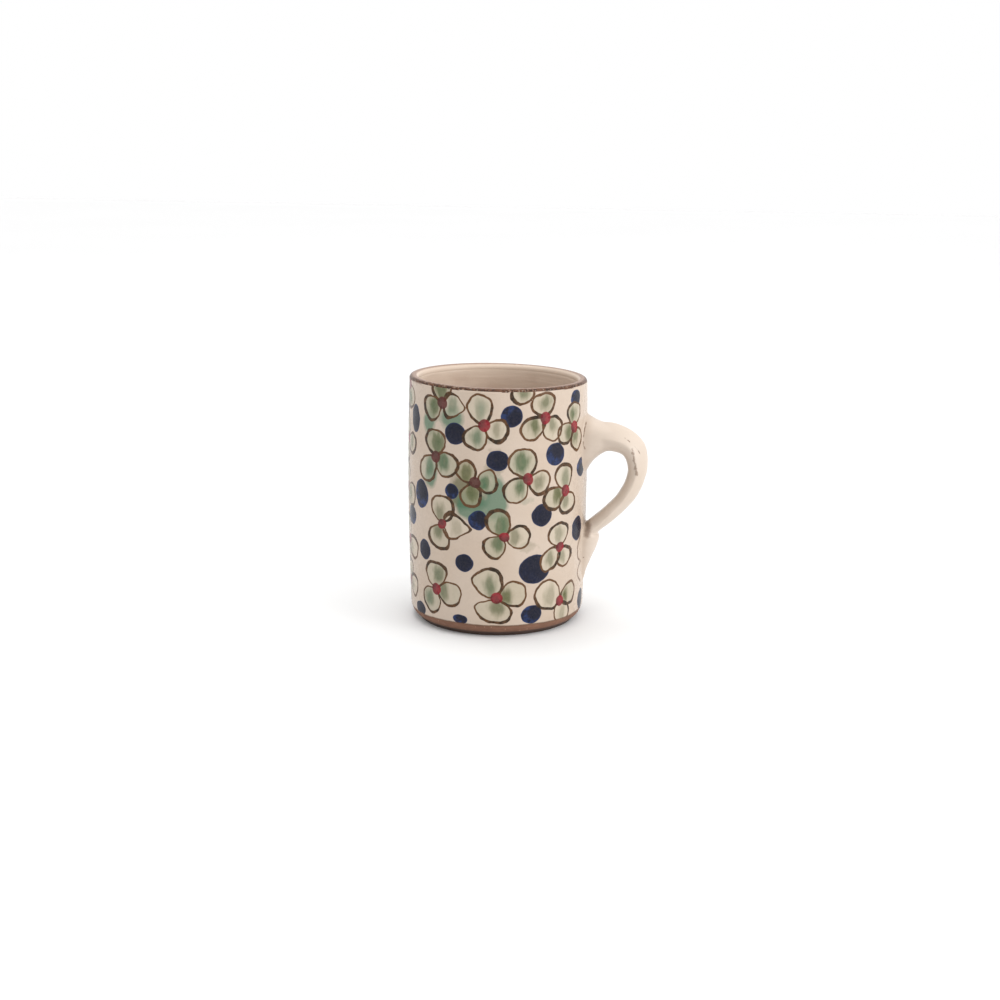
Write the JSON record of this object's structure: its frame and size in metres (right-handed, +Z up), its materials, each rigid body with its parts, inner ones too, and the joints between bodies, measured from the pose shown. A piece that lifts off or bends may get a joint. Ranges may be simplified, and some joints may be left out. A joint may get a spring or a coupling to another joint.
{
  "type": "mug",
  "caption": "Straight-sided hand-painted stoneware drinking mug with a bare clay foot, an iron-brown lip and one pulled strap handle.",
  "frame": {"origin": "middle of the foot, on the surface that the mug stands on", "axes": "+Z up along the mug's axis, +X towards the handle"},
  "size_m": [0.1102, 0.082, 0.1125],
  "materials": {
    "clay": "unglazed fired red-brown stoneware, fine grained and matt",
    "outer_glaze": "glossy clear glaze over cream slip, with brushed three-petalled flowers outlined in brown, washed in green with red centres, and dark blue dabs",
    "liner_glaze": "glossy beige liner glaze",
    "rim_glaze": "thin mottled iron-brown glaze, satin",
    "handle_glaze": "glossy cream glaze, brown where it is worn thin on the edge and in the crevices"
  },
  "bodies": {
    "root": {"clay_cup": "clay", "outer_glaze": "outer_glaze", "liner_glaze": "liner_glaze", "rim_glaze": "rim_glaze", "handle_strap": "clay", "upper_joint_clay": "clay", "lower_joint_clay": "clay", "handle_glaze": "handle_glaze"}
  },
  "joints": []
}
